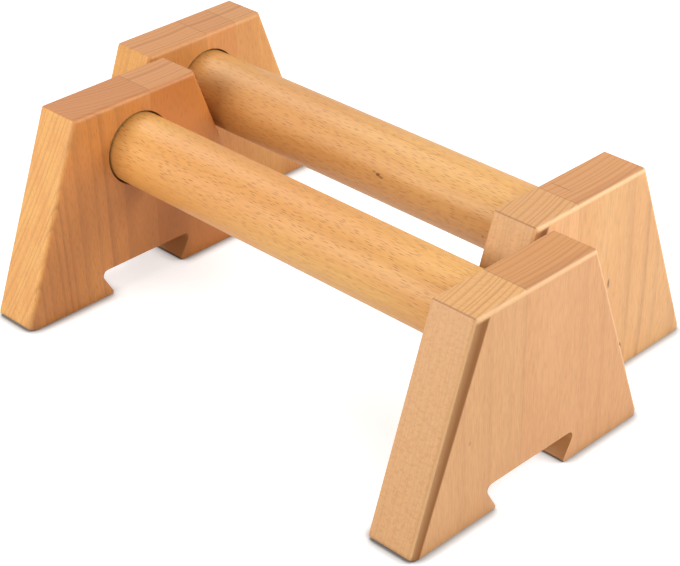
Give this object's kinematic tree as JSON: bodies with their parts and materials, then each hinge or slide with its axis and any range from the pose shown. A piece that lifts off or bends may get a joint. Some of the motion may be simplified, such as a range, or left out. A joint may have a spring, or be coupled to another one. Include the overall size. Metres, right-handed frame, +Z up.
{
  "type": "parallette bars",
  "caption": "Low wooden parallettes, nested: turned grip bars glued into trapezium end blocks of edge-glued staves, with dovetail notches under the feet.",
  "frame": {"origin": "on the floor, in the middle of the nested pair's box", "axes": "+X along the bars to the right, +Y from the front parallette to the rear one, +Z up"},
  "size_m": [0.3386, 0.2454, 0.112],
  "materials": {
    "turned_bar": "oiled beech, turned and sanded",
    "block_stave": "oiled beech, sanded"
  },
  "bodies": {
    "front_parallette": {"front_bar": "turned_bar", "front_left_block_near_stave": "block_stave", "front_left_block_far_stave": "block_stave", "front_right_block_near_stave": "block_stave", "front_right_block_far_stave": "block_stave"},
    "rear_parallette": {"rear_bar": "turned_bar", "rear_left_block_near_stave": "block_stave", "rear_left_block_middle_stave": "block_stave", "rear_left_block_far_stave": "block_stave", "rear_right_block_near_stave": "block_stave", "rear_right_block_far_stave": "block_stave"}
  },
  "joints": [
    {"name": "rear_parallette_place", "type": "slide", "parent": "front_parallette", "child": "rear_parallette", "axis": [0, 1, 0], "range_m": [0, 0.42]}
  ]
}
